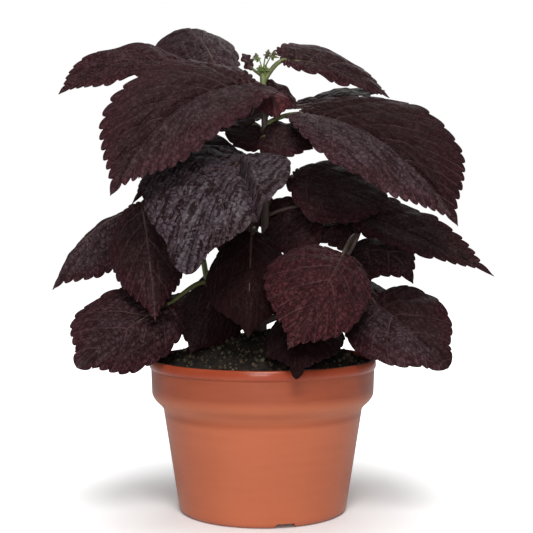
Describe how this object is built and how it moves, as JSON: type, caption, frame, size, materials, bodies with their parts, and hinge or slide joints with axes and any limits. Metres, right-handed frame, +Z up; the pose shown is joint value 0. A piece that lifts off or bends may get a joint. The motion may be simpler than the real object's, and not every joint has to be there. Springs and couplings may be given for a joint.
{
  "type": "potted coleus plant",
  "caption": "Bushy coleus plant with dark purple-brown scalloped leaves on square green stems, growing in a tapered, rimmed plastic pot of soil.",
  "frame": {"origin": "centre of the pot's flat base, on the surface that it stands on", "axes": "+Z up along the pot's axis; -Y is the plant's front, where the largest leaves face; +X is to the right as seen from the front"},
  "size_m": [0.2287, 0.1838, 0.267],
  "materials": {
    "pot": "satin",
    "soil": "matte",
    "stem": "satin",
    "leaf": "satin"
  },
  "bodies": {
    "root": {"pot": "pot", "soil": "soil", "stems": "stem", "shoot_tip": "stem", "leaf_crown_front_left": "leaf", "leaf_crown_left": "leaf", "leaf_crown_back_left": "leaf", "leaf_crown_right": "leaf", "leaf_upper_right": "leaf", "leaf_middle_front": "leaf", "leaf_middle_left": "leaf", "leaf_far_left": "leaf", "leaf_hanging_left": "leaf", "leaf_low_left": "leaf", "leaf_low_front_left": "leaf", "leaf_front": "leaf", "leaf_front_right": "leaf", "leaf_low_right": "leaf", "leaf_far_right": "leaf", "leaf_shaded_right": "leaf", "leaf_middle_right": "leaf", "leaf_inner_front": "leaf", "leaf_inner_right": "leaf", "leaf_young_left": "leaf", "leaf_young_right": "leaf", "leaf_young_back": "leaf", "leaf_young_front": "leaf", "leaf_young_top": "leaf", "leaf_rim_front": "leaf", "leaf_crown_back": "leaf", "leaf_upper_back_left": "leaf", "leaf_upper_back_right": "leaf", "leaf_middle_back_left": "leaf", "leaf_middle_back_right": "leaf", "leaf_back_left": "leaf", "leaf_back_high": "leaf", "leaf_low_back": "leaf", "leaf_low_back_right": "leaf", "leaf_low_back_left": "leaf"}
  },
  "joints": []
}
